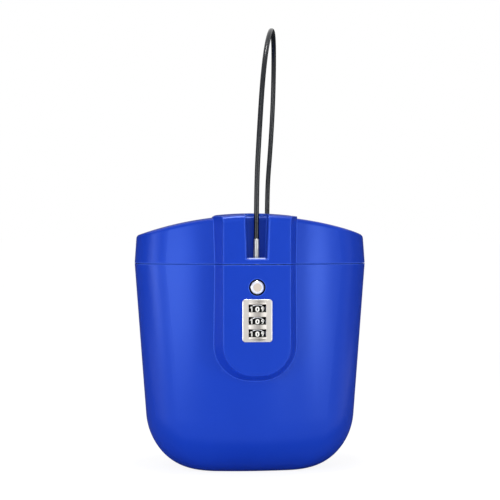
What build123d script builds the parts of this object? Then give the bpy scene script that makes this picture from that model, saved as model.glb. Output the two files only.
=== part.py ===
from build123d import *
import math
import os

os.makedirs("parts", exist_ok=True)

# A portable beach safe: a moulded tub with a hinged lid, a dial lock in a raised panel on its front,
# and a coated steel cable that loops over the lid and plugs into the lock.
# All sizes are in millimetres. The front faces -Y, +X is to the right, and the base stands on Z = 0.

# Tub
body_height = 146.0  # up to the middle of the parting line
parting_gap = 0.5
half_width = 82.5  # at the parting line
half_depth = 50.0
face_bulge_radius = 160.0  # plan radius of the front and back
side_bulge_radius = 110.0
rim_corner_radius = 34.0
base_corner_radius = 17.0
corner_share = 0.75  # the most of the half depth that a corner may take, so that the side keeps its arc
side_draft = 4.3  # degrees from upright
face_draft = 1.5
wall = 3.4
floor_thickness = 3.5
round_height = 38.0  # the walls turn in to the base along quarter ellipses
side_round_reach = 34.0
face_round_reach = 22.0
round_sections = 7

# Rim: a lip on the tub stands inside the lid's skirt, under a rubber seal
lip_thickness = 1.4
lip_rise = 3.5
rebate_clearance = 0.4
seal_gap = 0.3
seal_thickness = 1.4
seal_side_gap = 0.15

# Lid
lid_rise = 34.0  # crown above the parting line
lid_side_lean = 4.0
lid_face_lean = 4.0
lid_wall = 3.0
dome_width_radius = 235.0
dome_depth_radius = 1100.0
dome_sweep = 9.0  # degrees of the dome's turn about its far axis
dome_overhang = 20.0  # past the sides, before the walls trim it
lid_edge_round = 3.0

# Raised lock panel, from a U-shaped foot on the tub up over the lid
panel_face = 61.0  # in front of the centre
panel_half_width = 23.1
panel_drop = 75.5  # its foot below the parting line
panel_corner_radius = 20.2
panel_side_angle = 19.6
panel_root = 44.0  # the panel runs back to this depth
panel_wall = 3.0
panel_edge_round = 1.0
panel_top_round = 4.5  # where its front turns over onto the lid
band_rise = 1.5  # over the dome
band_side_run = 1.6

# Cable slot in the lid's part of the panel
slot_floor_rise = 4.0
slot_floor_half_width = 6.75
slot_top_half_width = 7.95
slot_edge_chamfer = 0.9
slot_lip_chamfer = 0.8
slot_rib = 2.4

# Lock pocket behind the panel, and its frame on the inside of the tub
pocket_half_width = 19.5
pocket_inset = 5.5  # of its floor above the panel's foot
pocket_roof = 3.45
frame_border = 4.7
frame_back = 41.0
cover_thickness = 2.0
cover_margin = 1.0
cover_corner_radius = 4.0

# Hinge
hinge_offset = 4.6  # axis behind the rear wall
knuckle_radius = 4.2
knuckle_count = 5
knuckle_length = 15.2
knuckle_gap = 0.5
hinge_pin_radius = 1.5
hinge_running_gap = 0.06
hinge_pin_overhang = 0.8
hinge_pin_chamfer = 0.4
leaf_inset = 6.0  # how far the leaves reach into the wall
leaf_drop = 12.0
leaf_slant = 40.0  # degrees round the knuckle to where the leaf leaves it

# Dials, on an upright spindle
dial_count = 3
dial_names = ["dial_bottom", "dial_middle", "dial_top"]
sleeve_names = ["sleeve_bottom", "sleeve_middle", "sleeve_top"]
digits = 10
dial_radius = 6.4
dial_height = 6.8
dial_pitch = 8.4
dial_axis_y = -55.8
dial_bore_radius = 3.6
dial_bevel = 0.5
flute_radius = 0.6
flute_depth = 0.25
clutch_depth = 1.6
clutch_reach = 0.5
clutch_width = 0.9
clutch_clearance = 0.1
sleeve_clearance = 0.04
chamber_radius = 2.75
gate_thickness = 0.9
gate_width = 1.5

# Spindle with its lugs
spindle_radius = 1.5
spindle_clearance = 0.1
lug_reach = 2.55
lug_width = 1.2
lug_height = 1.1
lug_clearance = 0.2
head_rise = 4.0  # from the top shelf to where the slanted head crosses the spindle's axis
foot_size = 4.4
foot_thickness = 1.2
foot_clearance = 0.25
foot_drop = 0.4  # below the lowest shelf

# Lock case
case_half_width = 11.0
case_wall = 2.6
case_back_wall = 1.8
case_back = 41.4
case_foot = 9.4  # below the lowest shelf's middle
case_top_gap = 0.5
case_roof = 1.8
shelf_thickness = 1.2
shelf_back_gap = 1.8
cup_floor = 1.6
rail_width = 1.9
rail_height = 1.5
rail_clearance = 0.2
ear_reach = 18.0
ear_height = 7.0
ear_thickness = 2.0
ear_front = 52.0
boss_radius = 2.8
boss_x = 15.0
lower_boss_inset = 6.0  # from the case's ends
upper_boss_inset = 6.8

# Lock plate
plate_width = 20.45
plate_height = 29.1
plate_thickness = 1.0
plate_corner_radius = 2.05
plate_chamfer = 0.35
bulge_half_chord = 5.95
bulge_rise = 1.3
bulge_wall = 0.8
bulge_margin = 1.9  # from the plate's ends
window_height = 5.15
window_half_width = 5.97
stud_radius = 1.0
stud_x = 8.2
wall_window_margin = 0.6

# Release button and latch bolt
button_seat = 2.9  # above the bolt's underside
button_plate_gap = 7.95  # from the button's axis down to the plate
button_radius = 4.45
button_proud = 1.3
button_hole_radius = 5.65
button_bevel = 0.7
button_dish_radius = 2.85
button_dish_depth = 0.25
button_peg_radius = 2.0
button_peg_length = 3.6
bolt_front_gap = 0.2
bolt_end_gap = 0.6  # behind the pressed bolt
bolt_side_clearance = 0.2
bolt_height = 7.4
ramp_half_width = 2.5
ramp_clearance = 0.05
catch_gap = 1.35  # under the case's roof
catch_lift = 2.05  # over the bolt
catch_thickness = 1.6
catch_half_width = 5.2
catch_bridge_front = 51.9
catch_hole_radius = 1.9
catch_slot_half_width = 1.0
spring_bore_radius = 2.4
spring_bore_depth = 7.3
bolt_spring_radius = 1.8
bolt_spring_turns = 5
bolt_spring_wire = 0.5
spindle_spring_radius = 1.75
spindle_spring_turns = 3
spindle_spring_wire = 0.6
spring_end_gap = 0.05

# Detent leaf behind the dials
leaf_thickness = 0.4
leaf_width = 4.6
leaf_dial_gap = 0.15

# Cable with its plug
cable_radius = 1.75
plug_y = -54.0
plug_pin_radius = 1.4
plug_tip_gap = 0.4  # over the bolt
plug_tip_cone = 0.5
plug_neck_radius = 0.85
plug_neck_clearance = 0.15  # above and below the claws
plug_hole_clearance = 0.15
plug_swing = 0.6  # the pin's tip leans forward as the lid lifts
plug_swing_clearance = 0.4
ferrule_radius = 2.08
ferrule_length = 13.4
ferrule_bevel = 0.35
crimp_depth = 0.3
crimp_height = 6.5
crimp_half_width = 0.7
cable_rest_x = 16.2
cable_rest_y = 36.0
bush_radius = 3.4
bush_flange_radius = 4.8
bush_flange_height = 1.2
bush_flange_lift = 0.4  # keeps the flat flange off the sloping lid
bush_clearance = 0.05
stop_radius = 3.0
stop_length = 7.0
stop_gap = 0.3

# Screws
screw_shank_radius = 1.2
screw_head_radius = 2.3
screw_head_height = 1.4
screw_bite = 5.0
drive_slot_width = 0.7
drive_slot_depth = 0.6
cover_screw_inset = 2.7

front = -panel_face
panel_back = front + panel_wall  # inner face of the panel's wall
body_top = body_height - parting_gap / 2
lid_bottom = body_height + parting_gap / 2
crown = body_height + lid_rise
panel_bottom = body_height - panel_drop
pocket_bottom = panel_bottom + pocket_inset
pocket_corner_radius = panel_corner_radius - panel_half_width + pocket_half_width
pocket_top = body_top - pocket_roof
slot_floor = body_height + slot_floor_rise
hinge_y = half_depth + hinge_offset
case_inner_half = case_half_width - case_wall
case_inner_back = -case_back - case_back_wall
bolt_front = panel_back + bolt_front_gap
case_top = pocket_top - case_top_gap
catch_top = case_top - case_roof - catch_gap
catch_bottom = catch_top - catch_thickness
bolt_top = catch_bottom - catch_lift
bolt_bottom = bolt_top - bolt_height
button_height = bolt_bottom + button_seat
spring_bore_height = (bolt_bottom + bolt_top) / 2
plug_tip_height = bolt_top + plug_tip_gap
plug_neck_bottom = catch_bottom - plug_neck_clearance
plug_neck_top = catch_top + plug_neck_clearance
ferrule_top = slot_floor + ferrule_length
stack_centre = button_height - button_plate_gap - plate_height / 2
shelf_heights = [stack_centre + (k - dial_count / 2) * dial_pitch for k in range(dial_count + 1)]
dial_heights = [stack_centre + (k - (dial_count - 1) / 2) * dial_pitch for k in range(dial_count)]
head_height = shelf_heights[-1] + head_rise
foot_top = shelf_heights[0] - shelf_thickness / 2 - foot_drop
case_bottom = shelf_heights[0] - case_foot
cup_bottom = case_bottom + cup_floor
lower_boss_height = case_bottom + lower_boss_inset
upper_boss_height = case_top - upper_boss_inset
latch_travel = gate_thickness + lug_height + 2 * lug_clearance  # takes each lug past its gate
bolt_back = case_inner_back - latch_travel - bolt_end_gap
beyond = 2 * body_height  # further than any piece reaches


def tan(angle):
    return math.tan(math.radians(angle))


def box(x, y, z):
    """A box from (low, high) pairs."""
    size = (x[1] - x[0], y[1] - y[0], z[1] - z[0])
    return Pos(x[0], y[0], z[0]) * Box(*size, align=(Align.MIN, Align.MIN, Align.MIN))


def rod(x, y, z, radius):
    """An upright cylinder, with z as (low, high)."""
    lower = (Align.CENTER, Align.CENTER, Align.MIN)
    return Pos(x, y, z[0]) * Cylinder(radius, z[1] - z[0], align=lower)


def rod_back(x, y, z, radius):
    """A cylinder along Y, with y as (front, back)."""
    lower = (Align.CENTER, Align.CENTER, Align.MIN)
    return Pos(x, y[0], z) * Rot(-90, 0, 0) * Cylinder(radius, y[1] - y[0], align=lower)


def rod_across(x, y, z, radius):
    """A cylinder along X, with x as (left, right)."""
    lower = (Align.CENTER, Align.CENTER, Align.MIN)
    return Pos(x[0], y, z) * Rot(0, 90, 0) * Cylinder(radius, x[1] - x[0], align=lower)


def profile_across(points, x):
    """A flat outline in Y and Z, given its thickness along X as (left, right)."""
    outline = Plane.YZ.offset(x[0]) * make_face(Polyline(*points, close=True))
    return extrude(outline, amount=x[1] - x[0], dir=(1, 0, 0))


def bulged_plan(height, x_reach, y_reach, corner, inset):
    """Four shallow arcs with rounded corners between them, drawn in by inset."""
    corner = min(corner, corner_share * y_reach)
    face_arc = face_bulge_radius - inset
    side_arc = side_bulge_radius - inset
    y_centre = face_arc - y_reach + inset
    x_centre = side_arc - x_reach + inset
    faces = Pos(0, y_centre) * Circle(face_arc) & Pos(0, -y_centre) * Circle(face_arc)
    sides = Pos(x_centre, 0) * Circle(side_arc) & Pos(-x_centre, 0) * Circle(side_arc)
    outline = faces & sides
    return Pos(0, 0, height) * fillet(outline.vertices(), corner - inset)


# Tub


def rounding(height, base, reach):
    """How far a quarter ellipse at the bottom has drawn the wall in at this height."""
    if height >= round_height:
        return 0.0
    share = (round_height - height) / (round_height - base)
    return reach * (1 - math.sqrt(max(0.0, 1 - share**2)))


def tub_section(height, base=0.0, inset=0.0):
    drop = body_height - height
    side_in = rounding(height, base, side_round_reach - inset)
    face_in = rounding(height, base, face_round_reach - inset)
    corner_loss = rim_corner_radius - base_corner_radius
    corner = rim_corner_radius - corner_loss * side_in / side_round_reach
    x_reach = half_width - drop * tan(side_draft) - side_in
    y_reach = half_depth - drop * tan(face_draft) - face_in
    return bulged_plan(height, x_reach, y_reach, corner, inset)


def tub_form(top, base=0.0, inset=0.0):
    """The drafted walls over a bowl of rounded sections."""
    lower, upper = (tub_section(h, base, inset) for h in (round_height, top))
    walls = loft([lower, upper], ruled=True)
    turns = [90 * k / (round_sections - 1) for k in range(round_sections)]
    depth = round_height - base
    heights = [base + depth * (1 - math.sin(math.radians(a))) for a in turns]
    bowl = loft([tub_section(h, base, inset) for h in heights])
    return walls + bowl


def rim_ring(outer_inset, inner_inset, z):
    """A ring that follows the rim's plan between two insets."""
    ring = tub_section(body_height, inset=outer_inset) - tub_section(body_height, inset=inner_inset)
    return extrude(Pos(0, 0, z[0] - body_height) * ring, amount=z[1] - z[0])


def panel_form():
    """The raised panel: a U with sloping sides that widen towards the wall."""
    top = body_height + 2 * lid_rise
    outline = Plane.XZ.offset(panel_face) * Pos(0, (panel_bottom + top) / 2) * Rectangle(
        2 * panel_half_width, top - panel_bottom
    )
    low_corners = outline.vertices().sort_by(Axis.Z)[:2]
    outline = fillet(low_corners, panel_corner_radius)
    depth = panel_face - panel_root
    panel = extrude(outline, amount=depth, dir=(0, 1, 0), taper=-panel_side_angle)
    crest = panel.faces().sort_by(Axis.Y)[0].edges()
    return fillet(crest, panel_edge_round)


def knuckles(first):
    """Hinge knuckles, every second one along X from the given place."""
    step = knuckle_length + knuckle_gap
    start = -(knuckle_count * step - knuckle_gap) / 2
    for k in range(first, knuckle_count, 2):
        yield start + k * step, start + k * step + knuckle_length


def hinge_leaf(first, edge, direction, bore):
    """Knuckles and the leaves that carry them, above or below the parting line."""
    carried = Part()
    root = half_depth - leaf_inset
    slant = hinge_y + knuckle_radius * math.cos(math.radians(leaf_slant))
    rise = knuckle_radius * math.sin(math.radians(leaf_slant))
    for x in knuckles(first):
        outline = [
            (root, edge),
            (hinge_y, edge),
            (slant, body_height + direction * rise),
            (half_depth, body_height + direction * leaf_drop),
            (root, body_height + direction * leaf_drop),
        ]
        carried += profile_across(outline, x) + rod_across(x, hinge_y, body_height, knuckle_radius)
        carried -= rod_across(x, hinge_y, body_height, bore)
    return carried


def boss_places():
    for x in (-boss_x, boss_x):
        for z in (lower_boss_height, upper_boss_height):
            yield x, z


def cover_screw_places():
    x = pocket_half_width + frame_border / 2
    for side in (-x, x):
        for z in (pocket_bottom - cover_screw_inset, pocket_top - 2 * cover_screw_inset):
            yield side, z


def plug_passage(z):
    """The hole that the plug's pin lifts out of, longer towards the front."""
    radius = plug_pin_radius + plug_swing_clearance
    passage = rod(0, plug_y, z, radius) + rod(0, plug_y - plug_swing, z, radius)
    return passage + box((-radius, radius), (plug_y - plug_swing, plug_y), z)


def body_shell():
    below_rim = box((-beyond, beyond), (-beyond, beyond), (0, body_top))
    tub = tub_form(body_height + lid_rise) & below_rim
    tub += panel_form() & below_rim
    tub += hinge_leaf(0, body_top, -1, hinge_pin_radius)
    cavity = tub_form(body_height + lid_rise, floor_thickness, wall)
    frame_x = pocket_half_width + frame_border
    frame_z = (pocket_bottom - frame_border, body_top)
    tub -= cavity - box((-frame_x, frame_x), (-half_depth, -frame_back), frame_z)
    pocket_x = (-pocket_half_width, pocket_half_width)
    pocket = box(pocket_x, (panel_back, 0), (pocket_bottom, pocket_top))
    low_corners = pocket.edges().filter_by(Axis.Y).sort_by(Axis.Z)[:2]
    tub -= fillet(low_corners, pocket_corner_radius)
    for x, z in boss_places():
        tub += rod_back(x, (panel_back, -ear_front), z, boss_radius)
        tub -= rod_back(x, (-ear_front - screw_bite, -ear_front), z, screw_shank_radius)
    for x, z in cover_screw_places():
        tub -= rod_back(x, (-frame_back - screw_bite, -frame_back), z, screw_shank_radius)
    tub += rim_ring(wall - lip_thickness, wall, (body_top, body_top + lip_rise))
    opening_x = dial_radius + wall_window_margin
    opening_z = dial_count * dial_pitch / 2
    opening = (stack_centre - opening_z, stack_centre + opening_z)
    tub -= box((-opening_x, opening_x), (front, panel_back), opening)
    tub -= rod_back(0, (front, panel_back), button_height, button_hole_radius)
    for x in (-stud_x, stud_x):
        tub -= rod_back(x, (front, panel_back), stack_centre, stud_radius)
    tub -= plug_passage((pocket_top, body_top))
    return tub


# Lid


def dome(offset):
    """Everything under the lid's crowned top: an arc across the width, turned about a far axis."""
    peak = crown + offset
    radius = dome_width_radius + offset
    reach = half_width + dome_overhang
    edge = peak - radius + math.sqrt(radius**2 - reach**2)
    floor = body_height - lid_rise
    top = ThreePointArc((-reach, edge), (0, peak), (reach, edge))
    sides = Polyline((reach, edge), (reach, floor), (-reach, floor), (-reach, edge))
    profile = Plane.XZ * make_face([top, sides])
    far_axis = Axis((0, 0, peak - dome_depth_radius - offset), (1, 0, 0))
    return revolve(profile.rotate(far_axis, -dome_sweep / 2), far_axis, dome_sweep)


def dome_height(x, y, offset=0.0):
    """Height of the lid's crowned top over a point."""
    width_drop = dome_width_radius - math.sqrt(dome_width_radius**2 - x**2)
    depth_drop = dome_depth_radius - math.sqrt(dome_depth_radius**2 - y**2)
    return crown + offset - width_drop - depth_drop


def lid_section(height, inset=0.0):
    rise = height - body_height
    x_reach = half_width - rise * tan(lid_side_lean)
    y_reach = half_depth - rise * tan(lid_face_lean)
    return bulged_plan(height, x_reach, y_reach, rim_corner_radius, inset)


def lid_form(bottom, inset=0.0):
    top = body_height + lid_rise + 2 * band_rise
    block = loft([lid_section(bottom, inset), lid_section(top, inset)], ruled=True)
    return block & dome(-inset)


def rolled_front():
    """Everything behind the panel's face, whose top edge rolls over along the crown."""
    low = body_height - lid_rise
    slope = (panel_face - panel_top_round) / dome_depth_radius
    roll_start = dome_height(0, front + panel_top_round, band_rise)
    edge = roll_start - slope * panel_top_round
    peak = roll_start + slope * (panel_face - panel_top_round)
    profile = Plane.YZ * make_face(Polyline((front, low), (front, edge), (0, peak), (0, low), close=True))
    top_corner = profile.vertices().sort_by(Axis.Y)[:2].sort_by(Axis.Z)[-1]
    profile = fillet(top_corner, panel_top_round)
    crown_axis = Axis((0, 0, crown + band_rise - dome_width_radius), (0, 1, 0))
    return revolve(profile.rotate(crown_axis, -dome_sweep), crown_axis, 2 * dome_sweep)


def cable_slot():
    """Open at the front and the top, a little wider at the top, with its front edges broken."""
    top = body_height + 2 * lid_rise
    spread = (slot_top_half_width - slot_floor_half_width) / (lid_rise - slot_floor_rise)
    top_half = slot_floor_half_width + spread * (top - slot_floor)

    def outline(grow):
        low = slot_floor_half_width + grow
        high = top_half + grow
        floor = slot_floor - grow * slot_lip_chamfer / slot_edge_chamfer
        return make_face(Polyline((-low, floor), (low, floor), (high, top), (-high, top), close=True))

    wide = Plane.XZ.offset(panel_face) * outline(slot_edge_chamfer)
    narrow = Plane.XZ.offset(panel_face - slot_edge_chamfer) * outline(0)
    inner = extrude(narrow, amount=panel_face - panel_root, dir=(0, 1, 0))
    return inner + loft([narrow, wide], ruled=True)


def lid_shell():
    over_rim = box((-beyond, beyond), (-beyond, beyond), (lid_bottom, beyond))
    main = lid_form(lid_bottom)
    half_way = body_height + lid_rise / 2
    top_edges = main.edges().filter_by(lambda e: min(v.Z for v in e.vertices()) > half_way)
    main = fillet(top_edges, lid_edge_round)
    tongue = panel_form() & dome(band_rise) & rolled_front() & over_rim
    tongue -= box((-beyond, beyond), (-half_depth + 2 * lid_wall, beyond), (0, beyond))
    tongue -= cable_slot()
    for side in (-1, 1):
        inner = slot_top_half_width + slot_rib
        outer = panel_half_width - slot_rib
        pocket = box(sorted((side * inner, side * outer)), (panel_back, -half_depth), (0, beyond))
        tongue -= pocket & dome(-lid_wall)
    band_half = panel_half_width + band_side_run
    band_depth = half_depth - lid_rise * tan(lid_face_lean) - lid_edge_round
    band = box((-band_half, band_half), (-band_depth, band_depth), (body_height, beyond)) & dome(band_rise)
    lid = main + tongue + band
    lid += hinge_leaf(1, lid_bottom, 1, hinge_pin_radius + hinge_running_gap)
    lid -= lid_form(lid_bottom - parting_gap, lid_wall)
    rebate_top = body_top + lip_rise + seal_gap + seal_thickness
    rebate = tub_section(body_height, inset=wall - lip_thickness - rebate_clearance)
    lid -= extrude(rebate, amount=rebate_top - body_height)
    lid -= rod(0, plug_y, (lid_bottom, slot_floor), plug_pin_radius + plug_hole_clearance)
    lid -= rod(cable_rest_x, cable_rest_y, (half_way, beyond), bush_radius)
    return lid


def lid_seal():
    low = body_top + lip_rise + seal_gap
    outer = wall - lip_thickness - rebate_clearance + seal_side_gap
    return rim_ring(outer, wall - seal_side_gap, (low, low + seal_thickness))


def hinge_pin():
    half = (knuckle_count * (knuckle_length + knuckle_gap) - knuckle_gap) / 2 + hinge_pin_overhang
    pin = rod_across((-half, half), hinge_y, body_height, hinge_pin_radius)
    ends = pin.edges().filter_by(GeomType.CIRCLE)
    return chamfer(ends, hinge_pin_chamfer)


# Lock


def lock_case():
    x = (-case_half_width, case_half_width)
    case = box(x, (panel_back, -case_back), (case_bottom, case_top))
    inner_x = (-case_inner_half, case_inner_half)
    lowest = shelf_heights[0] + shelf_thickness / 2
    case -= box(inner_x, (panel_back, case_inner_back), (lowest, case_top - case_roof))
    for z in shelf_heights[1:]:
        depth = (panel_back, case_inner_back - shelf_back_gap)
        case += box(inner_x, depth, (z - shelf_thickness / 2, z + shelf_thickness / 2))
    bore = (cup_bottom, shelf_heights[-1] + shelf_thickness / 2)
    case -= rod(0, dial_axis_y, bore, spindle_radius + spindle_clearance)
    keyway = (dial_axis_y, dial_axis_y + chamber_radius)
    case -= box((-gate_width / 2, gate_width / 2), keyway, bore)
    cup_half = foot_size / 2 + foot_clearance
    cup_y = (dial_axis_y - cup_half, dial_axis_y + cup_half)
    case -= box((-cup_half, cup_half), cup_y, (cup_bottom, shelf_heights[0] - shelf_thickness / 2))
    for side in (-1, 1):
        rail_x = sorted((side * (case_inner_half - rail_width), side * case_inner_half))
        for low in (bolt_bottom - rail_clearance - rail_height, bolt_top + rail_clearance):
            case += box(rail_x, (panel_back, case_inner_back), (low, low + rail_height))
    for x_place, z in boss_places():
        ear_x = sorted((math.copysign(case_half_width, x_place), math.copysign(ear_reach, x_place)))
        ear_z = (z - ear_height / 2, z + ear_height / 2)
        case += box(ear_x, (-ear_front, -ear_front + ear_thickness), ear_z)
        case -= rod_back(x_place, (-ear_front, -ear_front + ear_thickness), z, screw_shank_radius)
    return case - plug_passage((case_top - case_roof, case_top))


def screw(x, head_y, z, grip):
    """A countersunk-free pan screw that points to the front, its slot upright."""
    part = rod_back(x, (head_y, head_y + screw_head_height), z, screw_head_radius)
    part += rod_back(x, (head_y - grip - screw_bite, head_y), z, screw_shank_radius)
    top = head_y + screw_head_height
    slot_x = (x - drive_slot_width / 2, x + drive_slot_width / 2)
    slot_z = (z - screw_head_radius, z + screw_head_radius)
    return part - box(slot_x, (top - drive_slot_depth, top), slot_z)


def case_screws():
    return [screw(x, -ear_front + ear_thickness, z, ear_thickness) for x, z in boss_places()]


def cover_screws():
    return [screw(x, -frame_back + cover_thickness, z, cover_thickness) for x, z in cover_screw_places()]


def lock_cover():
    half = pocket_half_width + frame_border - cover_margin
    low = pocket_bottom - frame_border + cover_margin
    high = body_top - cover_margin
    outline = Pos(0, (low + high) / 2) * RectangleRounded(2 * half, high - low, cover_corner_radius)
    cover = extrude(Plane.XZ.offset(frame_back) * outline, amount=cover_thickness, dir=(0, 1, 0))
    for x, z in cover_screw_places():
        cover -= rod_back(x, (-frame_back, -frame_back + cover_thickness), z, screw_shank_radius)
    return cover


def dial(height):
    z = (height - dial_height / 2, height + dial_height / 2)
    ring = rod(0, dial_axis_y, z, dial_radius)
    ring = chamfer(ring.edges().filter_by(GeomType.CIRCLE), dial_bevel)
    ring -= rod(0, dial_axis_y, z, dial_bore_radius)
    flute_centre = dial_radius + flute_radius - flute_depth
    notch_reach = clutch_reach + clutch_clearance
    notch_half = clutch_width / 2 + clutch_clearance
    top = (z[1] - clutch_depth - clutch_clearance, z[1])
    for k in range(digits):
        turn = 360 / digits * k
        flute = Rot(0, 0, turn + 180 / digits) * rod(0, -flute_centre, z, flute_radius)
        ring -= Pos(0, dial_axis_y, 0) * flute
        notch = box((-notch_half, notch_half), (0, dial_bore_radius + notch_reach), top)
        ring -= Pos(0, dial_axis_y, 0) * Rot(0, 0, turn) * notch
    return ring


def sleeve(height):
    """The clutch sleeve in a dial: two open chambers with a slotted gate between them."""
    z = (height - dial_height / 2, height + dial_height / 2)
    gate = (height - gate_thickness / 2, height + gate_thickness / 2)
    outer = dial_bore_radius - sleeve_clearance
    part = rod(0, 0, z, outer)
    tooth_z = (z[1] - clutch_depth, z[1])
    tooth_reach = dial_bore_radius + clutch_reach
    part += box((-clutch_width / 2, clutch_width / 2), (-tooth_reach, tooth_reach), tooth_z)
    part -= rod(0, 0, z, chamber_radius)
    part += rod(0, 0, gate, chamber_radius)
    part -= rod(0, 0, gate, spindle_radius + spindle_clearance)
    part -= box((-gate_width / 2, gate_width / 2), (0, chamber_radius), gate)
    return Pos(0, dial_axis_y, 0) * part


def spindle():
    """A rod with a square foot, a lug above each gate and a head slanted at 45 degrees."""
    head_top = head_height + spindle_radius
    part = rod(0, dial_axis_y, (foot_top, head_top), spindle_radius)
    half = foot_size / 2
    foot_y = (dial_axis_y - half, dial_axis_y + half)
    part += box((-half, half), foot_y, (foot_top - foot_thickness, foot_top))
    for height in dial_heights:
        low = height + gate_thickness / 2 + lug_clearance
        lug_y = (dial_axis_y, dial_axis_y + lug_reach)
        part += box((-lug_width / 2, lug_width / 2), lug_y, (low, low + lug_height))
    reach = 2 * spindle_radius
    cut = [
        (dial_axis_y - reach, head_height - reach),
        (dial_axis_y + reach, head_height + reach),
        (dial_axis_y - reach, head_height + reach),
    ]
    return part - profile_across(cut, (-reach, reach))


def coil(radius, wire, turns, length):
    """An open spring of square wire along Z from 0, as half turns that climb in turn."""
    climb = (length - wire) / (2 * turns)
    start = wire / 2
    half_turns = []
    for k in range(2 * turns):
        side = 1 if k % 2 == 0 else -1
        low = start + climb * k
        middle = (0, side * math.hypot(radius, climb / 2), low + climb / 2)
        ends = (side * radius, 0, low), (-side * radius, 0, low + climb)
        half_turns.append(ThreePointArc(ends[0], middle, ends[1]))
    path = Curve() + half_turns
    section = Plane((radius, 0, start), x_dir=(1, 0, 0), z_dir=(0, 1, 0)) * Rectangle(wire, wire)
    return sweep(section, path=path)


def spindle_spring():
    length = foot_top - foot_thickness - cup_bottom - 2 * spring_end_gap
    spring = coil(spindle_spring_radius, spindle_spring_wire, spindle_spring_turns, length)
    return Pos(0, dial_axis_y, cup_bottom + spring_end_gap) * spring


def bolt_spring():
    back = case_inner_back - spring_end_gap
    length = back - bolt_back + spring_bore_depth - spring_end_gap
    spring = coil(bolt_spring_radius, bolt_spring_wire, bolt_spring_turns, length)
    return Pos(0, back, spring_bore_height) * Rot(90, 0, 0) * spring


def detent_spring():
    """A leaf along the case's back, with a bent finger that rides behind each dial."""
    back = case_inner_back
    left = -case_inner_half + leaf_thickness
    tip = dial_axis_y + dial_radius + leaf_dial_gap + leaf_thickness / 2
    points = [
        (left, back - leaf_thickness),
        (left / 5, tip + leaf_thickness),
        (0, tip),
        (-left / 5, tip + leaf_thickness),
        (-left / 2, tip + 4 * leaf_thickness),
    ]
    finger = trace(Polyline(*points), leaf_thickness)
    low = dial_heights[0] - leaf_width / 2
    high = dial_heights[-1] + leaf_width / 2
    spring = box((left - leaf_thickness, left + leaf_width / 2), (back - leaf_thickness, back), (low, high))
    for height in dial_heights:
        spring += extrude(Pos(0, 0, height - leaf_width / 2) * finger, amount=leaf_width)
    return spring


def lock_plate():
    outline = Pos(0, stack_centre) * RectangleRounded(plate_width, plate_height, plate_corner_radius)
    plate = extrude(Plane.XZ.offset(panel_face) * outline, amount=plate_thickness, dir=(0, -1, 0))
    plate_front = front - plate_thickness
    plate = chamfer(plate.faces().sort_by(Axis.Y)[0].edges(), plate_chamfer)
    bulge_radius = (bulge_half_chord**2 + bulge_rise**2) / (2 * bulge_rise)
    axis_y = plate_front - bulge_rise + bulge_radius
    half = plate_height / 2 - bulge_margin
    z = (stack_centre - half, stack_centre + half)
    hollow_half = half - bulge_wall
    hollow_z = (stack_centre - hollow_half, stack_centre + hollow_half)
    before_plate = box((-plate_width, plate_width), (2 * front, plate_front), z)
    plate += rod(0, axis_y, z, bulge_radius) & before_plate
    hollow = rod(0, axis_y, hollow_z, bulge_radius - bulge_wall)
    plate -= hollow & box((-window_half_width, window_half_width), (2 * front, front), hollow_z)
    for height in dial_heights:
        window_z = (height - window_height / 2, height + window_height / 2)
        plate -= box((-window_half_width, window_half_width), (2 * front, front), window_z)
    for x in (-stud_x, stud_x):
        plate += rod_back(x, (front, panel_back), stack_centre, stud_radius)
    return plate


def release_button():
    cap = rod_back(0, (front - button_proud, bolt_front), button_height, button_radius)
    rim = cap.edges().filter_by(GeomType.CIRCLE).sort_by(Axis.Y)[0]
    cap = chamfer(rim, button_bevel)
    dish = (front - button_proud, front - button_proud + button_dish_depth)
    cap -= rod_back(0, dish, button_height, button_dish_radius)
    return cap + rod_back(0, (bolt_front, bolt_front + button_peg_length), button_height, button_peg_radius)


def latch_bolt():
    """Slides back with the button: its claws close on the plug's neck, and its ramp drives the spindle down."""
    half = case_inner_half - bolt_side_clearance
    back = bolt_back
    bolt = box((-half, half), (bolt_front, back), (bolt_bottom, bolt_top))
    lift = ramp_clearance * math.sqrt(2)
    low = head_height + lift + bolt_front - dial_axis_y
    run = bolt_bottom - low
    ramp = [(bolt_front, low), (bolt_front + run, bolt_bottom), (bolt_front, bolt_bottom)]
    bolt += profile_across(ramp, (-ramp_half_width, ramp_half_width))
    catch_x = (-catch_half_width, catch_half_width)
    bolt += box(catch_x, (bolt_front, back), (catch_bottom, catch_top))
    bolt += box(catch_x, (-catch_bridge_front, back), (bolt_top, catch_bottom))
    catch = (catch_bottom, catch_top)
    bolt -= rod(0, plug_y, catch, catch_hole_radius)
    slot = (-catch_slot_half_width, catch_slot_half_width)
    bolt -= box(slot, (bolt_front, plug_y), catch)
    peg = (bolt_front, bolt_front + button_peg_length)
    bolt -= rod_back(0, peg, button_height, button_peg_radius)
    bore = (back - spring_bore_depth, back)
    return bolt - rod_back(0, bore, spring_bore_height, spring_bore_radius)


# Cable and its ends


lid_top_at_rest = dome_height(cable_rest_x, cable_rest_y, band_rise)
lid_under_at_rest = dome_height(cable_rest_x, cable_rest_y, -lid_wall)
stop_top = lid_under_at_rest - stop_gap

# The cable stands up from its plug, arches back over the lid leaning to the right, and drops into the bush.
cable_points = [
    (0.0, plug_y, ferrule_top),
    (0.0, plug_y, crown + 19.0),
    (2.1, -54.6, crown + 59.0),
    (6.1, -49.5, crown + 94.0),
    (11.8, -35.0, crown + 119.0),
    (17.0, -12.0, crown + 133.5),
    (20.8, 12.5, crown + 130.0),
    (22.3, 29.0, crown + 111.5),
    (21.5, 36.8, crown + 82.0),
    (18.8, 38.4, crown + 49.0),
    (cable_rest_x, cable_rest_y, crown + 20.0),
    (cable_rest_x, cable_rest_y, stop_top),
]


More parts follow.
